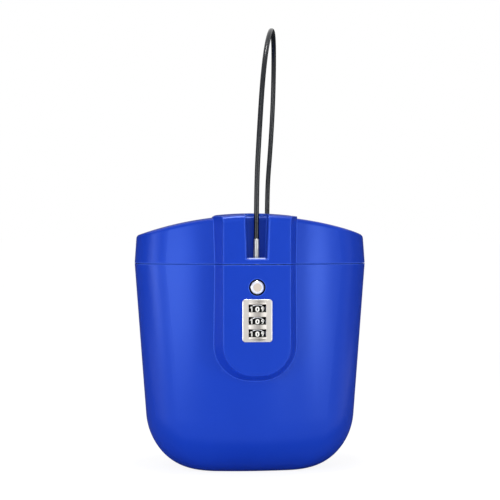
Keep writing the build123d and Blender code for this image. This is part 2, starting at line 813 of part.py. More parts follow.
def corner_radii(points):
    """The largest even arc that the shorter run at each corner allows."""
    radii = []
    for before, here, after in zip(points, points[1:], points[2:]):
        arriving = Vector(*here) - Vector(*before)
        leaving = Vector(*after) - Vector(*here)
        half_turn = math.radians(arriving.get_angle(leaving)) / 2
        shorter = min(arriving.length, leaving.length)
        radii.append(0.45 * shorter / math.tan(half_turn))
    return radii


def cable():
    radii = corner_radii(cable_points)
    print("cable bend radii, mm:", [round(r, 1) for r in radii])
    path = FilletPolyline(*cable_points, radius=radii)
    print("cable length, mm:", round(path.length, 1))
    section = Plane(origin=path @ 0, z_dir=path % 0) * Circle(cable_radius)
    tube = sweep(section, path=path)
    print("cable volume share:", round(tube.volume / (section.area * path.length), 5))
    return tube


def cable_plug():
    """A crimped ferrule on the cable's end, with a necked pin below it that the bolt's claws hold."""
    plug = rod(0, 0, (slot_floor, ferrule_top), ferrule_radius)
    plug = chamfer(plug.edges().filter_by(GeomType.CIRCLE), ferrule_bevel)
    for turn in (0, 90, 180, 270):
        crimp_x = (-crimp_half_width, crimp_half_width)
        crimp_y = (-ferrule_radius, crimp_depth - ferrule_radius)
        crimp = box(crimp_x, crimp_y, (slot_floor + ferrule_bevel, slot_floor + crimp_height))
        plug -= Rot(0, 0, turn) * crimp
    pin = rod(0, 0, (plug_tip_height, slot_floor), plug_pin_radius)
    pin = chamfer(pin.edges().filter_by(GeomType.CIRCLE).sort_by(Axis.Z)[0], plug_tip_cone)
    pin -= rod(0, 0, (plug_neck_bottom, plug_neck_top), plug_pin_radius)
    pin += rod(0, 0, (plug_neck_bottom, plug_neck_top), plug_neck_radius)
    return Pos(0, plug_y, 0) * (plug + pin)


def cable_bush():
    seat = lid_top_at_rest
    bush = rod(0, 0, (lid_under_at_rest, seat), bush_radius)
    bush += rod(0, 0, (seat + bush_flange_lift, seat + bush_flange_height), bush_flange_radius)
    bush += rod(0, 0, (seat, seat + bush_flange_height), bush_radius)
    bush -= rod(0, 0, (lid_under_at_rest, seat + bush_flange_height), cable_radius + bush_clearance)
    return Pos(cable_rest_x, cable_rest_y, 0) * bush


def cable_stop():
    stop = rod(cable_rest_x, cable_rest_y, (stop_top - stop_length, stop_top), stop_radius)
    return chamfer(stop.edges().filter_by(GeomType.CIRCLE), ferrule_bevel)


pieces = {
    "body_shell": body_shell(),
    "lid_shell": lid_shell(),
    "lid_seal": lid_seal(),
    "hinge_pin": hinge_pin(),
    "lock_case": lock_case(),
    "case_screws": case_screws(),
    "lock_cover": lock_cover(),
    "cover_screws": cover_screws(),
    "spindle": spindle(),
    "spindle_spring": spindle_spring(),
    "detent_spring": detent_spring(),
    "lock_plate": lock_plate(),
    "release_button": release_button(),
    "latch_bolt": latch_bolt(),
    "bolt_spring": bolt_spring(),
    "cable": cable(),
    "cable_plug": cable_plug(),
    "cable_bush": cable_bush(),
    "cable_stop": cable_stop(),
}
for dial_name, sleeve_name, height in zip(dial_names, sleeve_names, dial_heights):
    pieces[dial_name] = dial(height)
    pieces[sleeve_name] = sleeve(height)

for name, piece in pieces.items():
    solids = piece if isinstance(piece, list) else piece.solids()
    export_step(Compound(label=name, children=list(solids)), f"parts/{name}.step")
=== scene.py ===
# %% [markdown]
# # A portable beach safe
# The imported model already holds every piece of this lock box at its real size, in metres, with the front
# facing -Y and the base on Z = 0. What it lacks is what the eye notices first: a cable that bends like
# steel rope, numbers on the dials, and the finish of each surface. The cells below add these one at a time.

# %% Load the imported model
import math

import bpy
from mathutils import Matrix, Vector


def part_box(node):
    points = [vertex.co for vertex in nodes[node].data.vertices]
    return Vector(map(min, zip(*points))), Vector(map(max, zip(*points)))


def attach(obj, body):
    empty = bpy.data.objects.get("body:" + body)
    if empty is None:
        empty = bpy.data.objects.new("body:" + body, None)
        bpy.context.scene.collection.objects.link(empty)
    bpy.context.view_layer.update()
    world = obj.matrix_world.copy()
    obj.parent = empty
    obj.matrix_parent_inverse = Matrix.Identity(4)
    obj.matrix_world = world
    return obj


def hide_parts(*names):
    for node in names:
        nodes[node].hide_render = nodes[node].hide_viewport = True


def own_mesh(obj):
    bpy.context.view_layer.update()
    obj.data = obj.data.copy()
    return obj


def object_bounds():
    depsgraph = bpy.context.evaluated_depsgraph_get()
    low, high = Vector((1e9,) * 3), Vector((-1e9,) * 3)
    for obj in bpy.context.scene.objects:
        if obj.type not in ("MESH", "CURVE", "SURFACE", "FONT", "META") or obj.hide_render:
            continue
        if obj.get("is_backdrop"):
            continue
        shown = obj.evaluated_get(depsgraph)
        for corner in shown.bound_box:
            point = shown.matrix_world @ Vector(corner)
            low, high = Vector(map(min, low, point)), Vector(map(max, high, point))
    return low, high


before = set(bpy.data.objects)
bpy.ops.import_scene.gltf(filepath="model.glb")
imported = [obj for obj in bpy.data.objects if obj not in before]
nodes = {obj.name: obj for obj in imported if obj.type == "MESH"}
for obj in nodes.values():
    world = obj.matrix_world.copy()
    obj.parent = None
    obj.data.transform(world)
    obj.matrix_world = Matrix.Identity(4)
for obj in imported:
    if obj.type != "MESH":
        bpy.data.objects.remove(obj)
cad_low, cad_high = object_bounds()
print("the box is", [round(s, 4) for s in cad_high - cad_low], "metres over everything")

# %% [markdown]
# ## Before any operator runs
# An operator works on whatever is selected, and the loader leaves every imported piece selected. So each
# step first clears the selection, and then picks the one piece that it works on.

# %% Pick one piece


def deselect():
    if bpy.context.mode != "OBJECT":
        bpy.ops.object.mode_set(mode="OBJECT")
    bpy.ops.object.select_all(action="DESELECT")


def pick(piece):
    deselect()
    piece.select_set(True)
    bpy.context.view_layer.objects.active = piece


deselect()
print(len(bpy.context.selected_objects), "pieces are selected now")

# %% [markdown]
# ## The camera
# A product photograph is taken from far away with a long lens, so that upright edges stay parallel. Here
# the camera stands about a metre off and 20 mm above the parting line. It is a little to the left of the
# front, which makes the left one of the panel's two sloping sides look the wider. The heading is worked out
# from where the middle of the box falls in the picture, which is easier to read off than an angle.

# %% Place the camera
picture_side = 500
camera_distance = 1.0
camera_turn = math.radians(4.9)  # to the left of the front, as the viewer sees it
camera_height = 0.166
lens_length = 100.0  # millimetres, on a sensor 36 mm wide
box_column = 249.6  # where the box's upright axis falls in the picture
horizon_row = 235.0

lens = bpy.data.cameras.new("product_lens")
lens.lens = lens_length
lens.sensor_width = 36.0
focal_pixels = lens_length / lens.sensor_width * picture_side
camera = bpy.data.objects.new("product_camera", lens)
camera.location = (
    -camera_distance * math.sin(camera_turn),
    -camera_distance * math.cos(camera_turn),
    camera_height,
)
look_right = math.atan((picture_side / 2 - box_column) / focal_pixels)
look_down = math.atan((picture_side / 2 - horizon_row) / focal_pixels)
camera.rotation_euler = (math.pi / 2 - look_down, 0, -(camera_turn + look_right))
bpy.context.scene.collection.objects.link(camera)
bpy.context.scene.camera = camera
print("one pixel at the box's axis is", round(1000 * camera_distance / focal_pixels, 3), "mm")

# %% [markdown]
# ## The cable
# The real cable is steel rope in a smooth black coat, stiff enough to stand up in a tall loop. It leaves
# the metal ferrule in the lid's slot, rises, leans to the right as it arches back, and drops into the lid
# behind. A bent tube could be swept along arcs, but rope under its own stiffness has no corners or straight
# runs, so it is one NURBS curve, with a round bevel for its thickness. Its points are those of the solid
# cable, some of them moved by a few millimetres to follow the photograph. The thickness is in the points'
# own radius, which is a metre unless it is set, and which Blender counts as part of the curve's size. The
# order is set after the points exist: set before, Blender leaves it at straight lines.

# %% Draw the cable
cable_radius = 0.00175
ferrule_low, ferrule_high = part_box("cable_plug")
stop_low, stop_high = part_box("cable_stop")
cable_exit = Vector((0.0, (ferrule_low.y + ferrule_high.y) / 2, ferrule_high.z))
cable_end = Vector(((stop_low.x + stop_high.x) / 2, (stop_low.y + stop_high.y) / 2, stop_high.z))
cable_route = [
    cable_exit,
    (0.0, cable_exit.y, 0.1990),
    (0.0021, -0.0546, 0.2390),
    (0.0048, -0.0495, 0.2740),
    (0.0090, -0.0350, 0.2990),
    (0.0146, -0.0120, 0.3135),
    (0.0186, 0.0125, 0.3100),
    (0.0205, 0.0290, 0.2915),
    (0.0206, 0.0368, 0.2620),
    (0.0188, 0.0384, 0.2290),
    (cable_end.x, cable_end.y, 0.2000),
    cable_end,
]

cable_curve = bpy.data.curves.new("steel_cable", "CURVE")
cable_curve.dimensions = "3D"
spline = cable_curve.splines.new("NURBS")
spline.points.add(len(cable_route) - 1)
for point, place in zip(spline.points, cable_route):
    point.co = (*place, 1.0)
    point.radius = cable_radius
spline.order_u = 3
spline.use_endpoint_u = True
spline.resolution_u = 24
cable_curve.bevel_depth = 1.0  # a factor on each point's radius
cable_curve.bevel_resolution = 6
cable_curve.use_fill_caps = True
steel_cable = bpy.data.objects.new("steel_cable", cable_curve)
bpy.context.scene.collection.objects.link(steel_cable)
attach(steel_cable, "lid")
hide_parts("cable")
cable_length = spline.calc_length()
print("the cable is", round(1000 * cable_length, 1), "mm long")

# %% [markdown]
# ## Numbers on the dials
# Each dial carries the ten numbers round its drum, and the window shows the one at the front with its two
# neighbours. On the real lock they are printed white. A picture wrapped on the drum would blur close up, so
# each number is made from Blender's own lettering, turned into a mesh, divided so that it can bend, and
# wrapped round the drum by a small formula. The set is made once and copied to the other two dials.

# %% Settle the size of the numbers
number_height = 0.0037
number_spread = 1.18  # wider than the lettering is by itself
number_drop = 0.0006  # below the middle of the drum
number_weight = 0.045  # how far Blender thickens the strokes, as a share of its lettering's size
number_count = 10
one_stem = 0.00095
one_flag_from = 0.24  # where the flag starts on the stem, as a share of the height over the middle
one_flag_reach = 0.28  # as a share of the height
one_flag_slope = 0.7
print_thickness = 0.00005
print_sink = 0.2  # the share of the thickness that goes into the drum, so that no gap shows
dial_low, dial_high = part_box("dial_bottom")
drum_radius = (dial_high.y - dial_low.y) / 2
drum_axis = Vector((0.0, (dial_low.y + dial_high.y) / 2, (dial_low.z + dial_high.z) / 2))


def plain_one():
    """The number one, which has no foot on the real dials: a stem and a flag drawn out of its left."""
    deselect()
    bpy.ops.mesh.primitive_plane_add(size=1, location=(0, 0, 0))
    letter = bpy.context.object
    for vertex in letter.data.vertices:
        vertex.co.x *= one_stem
        vertex.co.y *= number_height
    bpy.ops.object.mode_set(mode="EDIT")
    bpy.ops.mesh.bisect(plane_co=(0, number_height * one_flag_from, 0), plane_no=(0, 1, 0))
    bpy.ops.mesh.select_all(action="DESELECT")
    bpy.ops.object.mode_set(mode="OBJECT")
    corners = letter.data.vertices
    for edge in letter.data.edges:
        middle = (corners[edge.vertices[0]].co + corners[edge.vertices[1]].co) / 2
        edge.select = middle.x < -one_stem / 4 and middle.y > number_height * one_flag_from
    bpy.ops.object.mode_set(mode="EDIT")
    reach = number_height * one_flag_reach
    slant = (-reach, -reach * one_flag_slope, 0)
    bpy.ops.mesh.extrude_region_move(TRANSFORM_OT_translate={"value": slant})
    bpy.ops.object.mode_set(mode="OBJECT")
    return letter


def lettering(text):
    """One number from Blender's own lettering, as a flat mesh as tall as the printed ones."""
    deselect()
    bpy.ops.object.text_add(location=(0, 0, 0))
    letter = bpy.context.object
    letter.data.body = text
    letter.data.align_x = "CENTER"
    letter.data.offset = number_weight
    letter.data.resolution_u = 3
    bpy.ops.object.convert(target="MESH")
    letter = bpy.context.object
    xs = [v.co.x for v in letter.data.vertices]
    ys = [v.co.y for v in letter.data.vertices]
    middle = Vector(((min(xs) + max(xs)) / 2, (min(ys) + max(ys)) / 2, 0))
    scale = number_height / (max(ys) - min(ys))
    for vertex in letter.data.vertices:
        vertex.co = (vertex.co - middle) * scale
        vertex.co.x *= number_spread
    return letter


def flat_number(text):
    """One number around the origin, upright along Y, with enough points to bend round a drum."""
    letter = plain_one() if text == "1" else lettering(text)
    pick(letter)
    bpy.ops.object.mode_set(mode="EDIT")
    bpy.ops.mesh.select_all(action="SELECT")
    bpy.ops.mesh.remove_doubles(threshold=number_height / 1000)
    bpy.ops.mesh.quads_convert_to_tris()
    bpy.ops.mesh.subdivide(number_cuts=1)
    bpy.ops.object.mode_set(mode="OBJECT")
    return letter


# %% Wrap the numbers round a drum


def wrap(letter, turn):
    """Bends a flat number round the drum, its middle at the given turn from the front."""
    radius = drum_radius + print_thickness
    for vertex in letter.data.vertices:
        angle = turn + vertex.co.x / drum_radius
        vertex.co = Vector(
            (
                drum_axis.x + radius * math.sin(angle),
                drum_axis.y - radius * math.cos(angle),
                drum_axis.z - number_drop + vertex.co.y,
            )
        )


numbers = []
for value in range(number_count):
    letter = flat_number(str(value))
    wrap(letter, -math.radians(360 / number_count) * value)
    numbers.append(letter)
deselect()
for letter in numbers:
    letter.select_set(True)
bpy.context.view_layer.objects.active = numbers[0]
bpy.ops.object.join()
numbers_bottom = bpy.context.object
numbers_bottom.name = "numbers_bottom"
pick(numbers_bottom)
ink = numbers_bottom.modifiers.new("ink", "SOLIDIFY")
ink.thickness = print_thickness * (1 + print_sink)
ink.offset = -1
bpy.ops.object.modifier_apply(modifier=ink.name)
print("a set of numbers has", len(numbers_bottom.data.polygons), "faces")

# %% Copy the numbers to the other dials


def copies_above(piece, stem):
    """Copies of a piece at the bottom dial for the two dials over it, named after them."""
    copies = []
    for dial_name in ("dial_middle", "dial_top"):
        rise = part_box(dial_name)[0].z - dial_low.z
        copy = piece.copy()
        copy.data = piece.data.copy()
        copy.name = dial_name.replace("dial", stem)
        for vertex in copy.data.vertices:
            vertex.co.z += rise
        bpy.context.scene.collection.objects.link(copy)
        copies.append(copy)
    return copies


number_sets = [numbers_bottom, *copies_above(numbers_bottom, "numbers")]
for piece in number_sets:
    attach(piece, piece.name.replace("numbers", "dial"))
print("the dials carry", [piece.name for piece in number_sets])

# %% [markdown]
# ## The pale lip of the slot
# The ferrule is pushed in and pulled out over the slot's lower lip. This edge shows a pale line, the
# brightest one that the photograph shows on the blue. It is a painted highlight: a paler blue than the
# lid's.
# It could be painted on the lid by its height, but then it would have no shine of its own. So it is a fine
# bead that sinks halfway into the edge: a cylinder whose two ends are drawn out and narrowed.

# %% Make the lip
ferrule_length = 0.0134  # the ferrule stands on the floor of the slot
lip_half_width = 0.0056
lip_radius = 0.0005
lip_point = 0.0012  # how far each end is drawn out
lip_end = 0.3  # what is left of its thickness there
lip_set_back = 0.0008  # from the panel's front
panel_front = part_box("body_shell")[0].y
lip_centre = (0.0, panel_front + lip_set_back, ferrule_high.z - ferrule_length)
deselect()
bpy.ops.mesh.primitive_cylinder_add(
    vertices=16,
    radius=lip_radius,
    depth=2 * lip_half_width,
    location=(0, 0, 0),
    rotation=(0, math.pi / 2, 0),
)
slot_lip = bpy.context.object
slot_lip.name = "slot_lip"
bpy.ops.object.transform_apply(rotation=True)
for side in (-1, 1):
    for face in slot_lip.data.polygons:
        face.select = face.normal.x * side > 0.9
    bpy.ops.object.mode_set(mode="EDIT")
    bpy.ops.mesh.extrude_region_move(TRANSFORM_OT_translate={"value": (side * lip_point, 0, 0)})
    bpy.ops.transform.resize(value=(1, lip_end, lip_end))
    bpy.ops.mesh.select_all(action="DESELECT")
    bpy.ops.object.mode_set(mode="OBJECT")
slot_lip.location = lip_centre
pick(slot_lip)
bpy.ops.object.transform_apply(location=True)
bpy.ops.object.shade_smooth_by_angle(angle=math.radians(40))
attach(slot_lip, "lid")
print("the middle of the lip is at", [round(1000 * v, 2) for v in lip_centre], "mm")

# %% [markdown]
# ## A brow over each window
# Above each number the photograph shows a fine pale arch, which is taken for a little turned-down brow of
# the stamped window. A curve with a round bevel would make one too, but a short piece of a ring has its
# radius in plain sight. The ring is added whole, all but its top is deleted, the two cut ends are closed,
# and the piece is copied to the other windows.

# %% Make the brows
brow_half_width = 0.0034
brow_sag = 0.0008
brow_radius = 0.00028
# The ring whose piece of this width has this sag:
brow_ring = (brow_half_width**2 + brow_sag**2) / (2 * brow_sag)
brow_rise = 0.0023  # its top over the middle of the dial
deselect()
bpy.ops.mesh.primitive_torus_add(
    major_radius=brow_ring,
    minor_radius=brow_radius,
    major_segments=120,
    minor_segments=8,
    location=(0, 0, 0),
    rotation=(math.pi / 2, 0, 0),
)
brow = bpy.context.object
brow.name = "brow_bottom"
bpy.ops.object.transform_apply(rotation=True)
bpy.ops.object.mode_set(mode="EDIT")
bpy.ops.mesh.select_mode(type="VERT")
bpy.ops.mesh.select_all(action="DESELECT")
bpy.ops.object.mode_set(mode="OBJECT")
for vertex in brow.data.vertices:
    vertex.select = not (abs(vertex.co.x) < brow_half_width and vertex.co.z > 0)
bpy.ops.object.mode_set(mode="EDIT")
bpy.ops.mesh.delete(type="VERT")
bpy.ops.mesh.select_all(action="SELECT")
bpy.ops.mesh.fill_holes(sides=0)
bpy.ops.object.mode_set(mode="OBJECT")
brow.location = (0, drum_axis.y - drum_radius - brow_radius, drum_axis.z + brow_rise - brow_ring)
bpy.ops.object.transform_apply(location=True)
bpy.ops.object.shade_smooth_by_angle(angle=math.radians(40))
brows = [brow, *copies_above(brow, "brow")]
for piece in brows:
    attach(piece, "safe")
brow_faces = len(brow.data.polygons)
print("each brow is", round(2000 * brow_half_width, 1), "mm wide and has", brow_faces, "faces")

# %% [markdown]
# ## Copies of the springs
# Two coil springs sit inside the lock, and both grow shorter as the button goes in. A rigid piece would
# stay long and cut through the bolt and the spindle. New coils could be swept along a helix, but the packed
# ones already have the right form, so each spring here is a copy of the packed one, which is hidden; the
# copy keeps its length. The triangles of an imported piece are loose, so their corners are merged first.

# %% Copy the springs
merge_within = 0.000001


def yielding_spring(node_name, piece_name, length):
    """A copy of a packed spring, its corners merged, in place of the packed one, which is hidden."""
    spring = bpy.data.objects.new(piece_name, nodes[node_name].data.copy())
    bpy.context.scene.collection.objects.link(spring)
    pick(spring)
    bpy.ops.object.mode_set(mode="EDIT")
    bpy.ops.mesh.select_all(action="SELECT")
    bpy.ops.mesh.remove_doubles(threshold=merge_within)
    bpy.ops.object.mode_set(mode="OBJECT")
    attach(spring, "safe")
    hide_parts(node_name)
    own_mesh(spring)
    print(piece_name, "is", round(1000 * length, 2), "mm long at rest")
    return spring


spring_low, spring_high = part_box("bolt_spring")
bolt_coil = yielding_spring(
    "bolt_spring", "bolt_coil", spring_high.y - spring_low.y
)
spring_low, spring_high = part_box("spindle_spring")
spindle_coil = yielding_spring(
    "spindle_spring", "spindle_coil", spring_high.z - spring_low.z
)

# %% [markdown]
# ## A way to write shader maths
# A finish is a small program of nodes. Written node by node it is hard to read, so one class wraps a
# socket: adding or multiplying two of them adds the Math node that does it. A second class holds a material
# and adds any other node from its type, its settings and what goes into its sockets.

# %% Sockets as numbers


class Value:
    """A node's output that can stand in a sum."""

    def __init__(self, finish, socket):
        self.finish = finish
        self.socket = socket

    def join(self, operation, first, second):
        return self.finish.add("ShaderNodeMath", {"operation": operation}, {0: first, 1: second})

    def __add__(self, other):
        return self.join("ADD", self, other)

    def __sub__(self, other):
        return self.join("SUBTRACT", self, other)

    def __rsub__(self, other):
        return self.join("SUBTRACT", other, self)

    def __mul__(self, other):
        return self.join("MULTIPLY", self, other)


class Finish:
    """A material, or the world, whose nodes are added in code."""

    def __init__(self, name, owner=None, **sockets):
        self.owner = owner or bpy.data.materials.new(name)
        self.owner.use_nodes = True
        self.tree = self.owner.node_tree
        self.shader = self.tree.nodes.get("Principled BSDF")
        for name, value in sockets.items():
            socket = name.replace("_", " ").title().replace("Ior", "IOR")
            self.shader.inputs[socket].default_value = value

    def feed(self, socket, value):
        if isinstance(value, Value):
            self.tree.links.new(value.socket, socket)
        else:
            socket.default_value = value

    def add(self, kind, settings=None, inputs=None, output=0):
        node = self.tree.nodes.new(kind)
        for name, value in (settings or {}).items():
            setattr(node, name, value)
        for name, value in (inputs or {}).items():
            self.feed(node.inputs[name], value)
        return Value(self, node.outputs[output])

    def place(self):
        """Where a point lies on the piece, in metres."""
        return self.add("ShaderNodeTexCoord", output="Object")

    def noise(self, scale, detail=2.0, stretch=(1, 1, 1)):
        spot = self.add("ShaderNodeMapping", inputs={"Vector": self.place(), "Scale": stretch})
        return self.add("ShaderNodeTexNoise", inputs={"Vector": spot, "Scale": scale, "Detail": detail})

    def blend(self, amount, low, high):
        """A colour from low to high. A Mix node's colours are its inputs 6 and 7 and its output 2."""
        settings = {"data_type": "RGBA"}
        return self.add("ShaderNodeMix", settings, {"Factor": amount, 6: low, 7: high}, output=2)

    def ramp(self, value, start, end, low, high):
        """A number that goes from low to high as value goes from start to end."""
        inputs = {"Value": value, "From Min": start, "From Max": end, "To Min": low, "To Max": high}
        return self.add("ShaderNodeMapRange", inputs=inputs)

    def size_of(self, value):
        """A number without its sign."""
        return self.add("ShaderNodeMath", {"operation": "ABSOLUTE"}, {0: value})

    def bump(self, height, depth, strength, edge=0.0):
        """Fine relief, on a surface whose corners catch the light as if rounded by the edge radius."""
        inputs = {"Height": height, "Distance": depth, "Strength": strength}
        if edge:
            inputs["Normal"] = self.add("ShaderNodeBevel", {"samples": 8}, {"Radius": edge})
        return self.add("ShaderNodeBump", inputs=inputs, output="Normal")

    def near_edges(self, reach, gain):
        """One along the corners of a piece, and zero further from them than the reach."""
        rounded = self.add("ShaderNodeBevel", {"samples": 8}, {"Radius": reach})
        straight = self.add("ShaderNodeNewGeometry", output="Normal")
        dot = {"operation": "DOT_PRODUCT"}
        alike = self.add("ShaderNodeVectorMath", dot, {0: rounded, 1: straight}, output="Value")
        clamped = {"operation": "MULTIPLY", "use_clamp": True}
        return self.add("ShaderNodeMath", clamped, {0: 1 - alike, 1: gain})

    def surface(self, **sockets):
        for name, value in sockets.items():
            self.feed(self.shader.inputs[name.replace("_", " ").title()], value)
        return self


def paint(red, green, blue):
    """A colour as a screen shows it, from 0 to 255, turned into the amounts of light for a shader."""

    def light(level):
        share = level / 255
        return share / 12.92 if share <= 0.04045 else ((share + 0.055) / 1.055) ** 2.4

    return (light(red), light(green), light(blue), 1.0)


def between(amount, low, high):
    """A number that goes from low to high as amount goes from 0 to 1."""
    return amount * (high - low) + low


# %% [markdown]
# ## Moulded blue plastic
# The tub and the lid are injection moulded in one deep blue, with a fine spark-etched grain that spreads
# the highlights into soft bands. A flat colour looks like paper, and a mirror-like one looks wet. So the
# colour drifts by a hair from place to place, a grain far smaller than a millimetre bumps the surface, and
# the roughness varies a little, more so near the base, which stands in sand. The corners catch the light as
# a fine pale line in the photograph. Rounding them in the mesh would change the imported pieces, so the
# shader rounds them, and finds them by comparing its rounded surface with the true one. Along them a paler
# blue is
# mixed into the colour: a painted highlight.

# %% Finish the tub and the lid
drift_scale = 26
grain_scale = 2600
grain_depth = 0.00004
scuff_scale = 420
scuff_height = 0.02  # sand leaves its scuffs from the base up to here
scuff_gain = 0.18
corner_radius = 0.001  # as the light sees it
# The two numbers below shape a painted highlight: a paler blue along the corners.
highlight_line_reach = 0.0011  # how far the pale line reaches from a corner
highlight_line_gain = 14


def moulded_blue():
    finish = Finish("moulded_blue", ior=1.55, specular_tint=(0.2, 0.36, 1.0, 1.0))
    drift = finish.noise(drift_scale, detail=3)
    colour = finish.blend(drift, paint(13, 51, 168), paint(17, 56, 175))
    # A paler blue along the corners: a painted highlight.
    colour = finish.blend(finish.near_edges(highlight_line_reach, highlight_line_gain), colour, paint(56, 94, 216))
    grain = finish.noise(grain_scale, detail=2)
    height = finish.add("ShaderNodeSeparateXYZ", inputs={0: finish.place()}, output="Z")
    low_down = finish.ramp(height, 0.0, scuff_height, 1.0, 0.0)
    scuffs = finish.noise(scuff_scale, detail=4, stretch=(1, 1, 0.3))
    finish.surface(
        base_color=colour,
        roughness=between(drift, 0.27, 0.29) + scuffs * low_down * scuff_gain,
        normal=finish.bump(grain, grain_depth, 0.35, corner_radius),
    )
    return finish.owner


# %% [markdown]
# ## Metal, rubber and the small plastics
# Each of the other finishes comes from how that surface was made: the plate is brushed up and down, the
# ferrule is drawn and crimped, the coat of the cable is smooth and wet-looking, and the black parts inside
# are plain nylon.

# %% Finish the metals
streak_scale = 3000
streak_depth = 0.00001
# The rim that these two place is smoother, and its paler colour is a painted highlight.
highlight_rim_outer = 0.0004  # the plate's polished rim is full from here to its edge
highlight_rim_inner = 0.0007  # and begins here
rim_corner = 0.0006
# The darkening that these two place is a painted dark reflection on the windows' block; no fingers darken
# it.
dark_reflection_at = 0.0014  # where fingers darken the plate, to the right of its middle
dark_reflection_reach = 0.0045
dish_radius = 0.0027  # the button's dish ends here
dish_blend = 0.0003


def streaked_metal(name, dark, pale, roughness, stretch, streaks=streak_scale):
    """Metal with fine streaks along the direction in which the stretch is small."""
    finish = Finish(name, metallic=1.0)
    lines = finish.noise(streaks, detail=3, stretch=stretch)
    finish.surface(
        base_color=finish.blend(lines, dark, pale),
        roughness=between(lines, roughness - 0.06, roughness + 0.06),
        normal=finish.bump(lines, streak_depth, 0.4),
    )
    return finish.owner


def plate_metal():
    """Nickel, brushed upright, with a smoother rim painted paler as a highlight, and a painted dark
    reflection on the windows' block.
    """
    finish = Finish("brushed_nickel", metallic=1.0)
    low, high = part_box("lock_plate")
    middle = (low + high) / 2
    half = (high - low) / 2
    spot = finish.place()
    across = finish.add("ShaderNodeSeparateXYZ", inputs={0: spot}, output="X")
    up = finish.add("ShaderNodeSeparateXYZ", inputs={0: spot}, output="Z")
    side_gap = finish.size_of(across - middle.x) - half.x
    end_gap = finish.size_of(up - middle.z) - half.z
    to_rim = finish.add("ShaderNodeMath", {"operation": "MAXIMUM"}, {0: side_gap, 1: end_gap})
    rim = finish.ramp(to_rim, -highlight_rim_inner, -highlight_rim_outer, 0.0, 1.0)
    # A painted dark reflection on the windows' block, to the right of its middle.
    off_middle = finish.size_of(across - dark_reflection_at)
    dark_reflection = finish.ramp(off_middle, 0.0, dark_reflection_reach, 1.0, 0.0)
    lines = finish.noise(streak_scale, detail=3, stretch=(1, 1, 0.03))
    colour = finish.blend(lines, paint(164, 160, 156), paint(196, 192, 187))
    colour = finish.blend(dark_reflection * between(lines, 0.5, 0.9), colour, paint(104, 100, 96))
    # A paler rim: the metal is smoother there, and its paler colour is a painted highlight.
    colour = finish.blend(rim, colour, paint(214, 216, 222))
    finish.surface(
        base_color=colour,
        roughness=between(lines, 0.4, 0.5) - rim * 0.15,
        normal=finish.bump(lines, streak_depth, 0.4, rim_corner),
    )
    return finish.owner


def button_metal():
    """Satin in the shallow dish, and bright where the rim is turned."""
    finish = Finish("button_metal", metallic=1.0)
    low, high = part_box("release_button")
    middle = (low + high) / 2
    spot = finish.add(
        "ShaderNodeVectorMath",
        {"operation": "SUBTRACT"},
        {0: finish.place(), 1: (middle.x, 0, middle.z)},
    )
    flat = finish.add("ShaderNodeVectorMath", {"operation": "MULTIPLY"}, {0: spot, 1: (1, 0, 1)})
    radius = finish.add("ShaderNodeVectorMath", {"operation": "LENGTH"}, {0: flat}, output="Value")
    rim = finish.ramp(radius, dish_radius, dish_radius + dish_blend, 0.0, 1.0)
    grain = finish.noise(4000, detail=2)
    colour = finish.blend(rim, paint(186, 176, 166), paint(222, 226, 240))
    finish.surface(
        base_color=colour,
        roughness=between(rim, 0.45, 0.22) + grain * 0.08,
        normal=finish.bump(grain, streak_depth, 0.3),
    )
    return finish.owner


# %% Finish the plastics and the rubber


def plain_plastic(name, colour, pale, roughness, grain_size=1800, depth=0.00002, shine=0.5):
    finish = Finish(name, specular_ior_level=shine)
    grain = finish.noise(grain_size, detail=2)
    drift = finish.noise(60, detail=2)
    finish.surface(
        base_color=finish.blend(drift, colour, pale),
        roughness=between(grain, roughness - 0.05, roughness + 0.07),
        normal=finish.bump(grain, depth, 0.3),
    )
    return finish.owner


# %% [markdown]
# ## Put each finish on its pieces
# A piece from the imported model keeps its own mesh, and only the material in its slot changes. The pieces
# that are new here get theirs in the same way.

# %% Assign the finishes
blue = moulded_blue()
nickel = plate_metal()
along_x = (0.1, 1, 1)
along_z = (1, 1, 0.1)
drawn_along_z = (1, 1, 0.05)
all_ways = (1, 1, 1)
steel = streaked_metal("bright_steel", paint(176, 178, 182), paint(208, 210, 214), 0.3, along_x)
aluminium = streaked_metal(
    "satin_aluminium", paint(140, 140, 140), paint(172, 172, 170), 0.42, drawn_along_z
)
brass = streaked_metal("turned_brass", paint(182, 148, 84), paint(206, 172, 104), 0.32, along_z)
# The latch bolt is near-black as painted shade, for the shade it lies in behind the gap round the button.
zinc_painted_shade = streaked_metal(
    "zinc_painted_shade", paint(26, 27, 30), paint(40, 41, 44), 0.5, all_ways, streaks=1500
)
polished = streaked_metal(
    "polished_nickel", paint(224, 226, 230), paint(240, 242, 246), 0.3, all_ways
)
button = button_metal()
rubber = plain_plastic("black_rubber", paint(20, 20, 21), paint(30, 30, 31), 0.75)
nylon = plain_plastic("black_nylon", paint(24, 24, 26), paint(34, 34, 36), 0.5)
drum = plain_plastic("dial_black", paint(8, 8, 9), paint(15, 15, 16), 0.5, shine=0.08)
# A paler blue for the slot's lip: a painted highlight.
lip_highlight_finish = plain_plastic("painted_lip_highlight", paint(150, 168, 244), paint(186, 198, 250), 0.25)
white_ink = plain_plastic("white_ink", paint(236, 236, 232), paint(246, 246, 242), 0.45)
coat = plain_plastic(
    "cable_coat",
    paint(14, 17, 22),
    paint(24, 28, 34),
    0.22,
    grain_size=900,
    depth=0.000004,
    shine=0.3,
)

worn_by = {
    "body_shell": blue,
    "lid_shell": blue,
    "lock_plate": nickel,
    "release_button": button,
    "cable_plug": aluminium,
    "cable_stop": aluminium,
    "lid_seal": rubber,
    "cable_bush": rubber,
    "lock_case": nylon,
    "lock_cover": nylon,
    "latch_bolt": zinc_painted_shade,
    "sleeve_bottom": brass,
    "sleeve_middle": brass,
    "sleeve_top": brass,
    "dial_bottom": drum,
    "dial_middle": drum,
    "dial_top": drum,
}


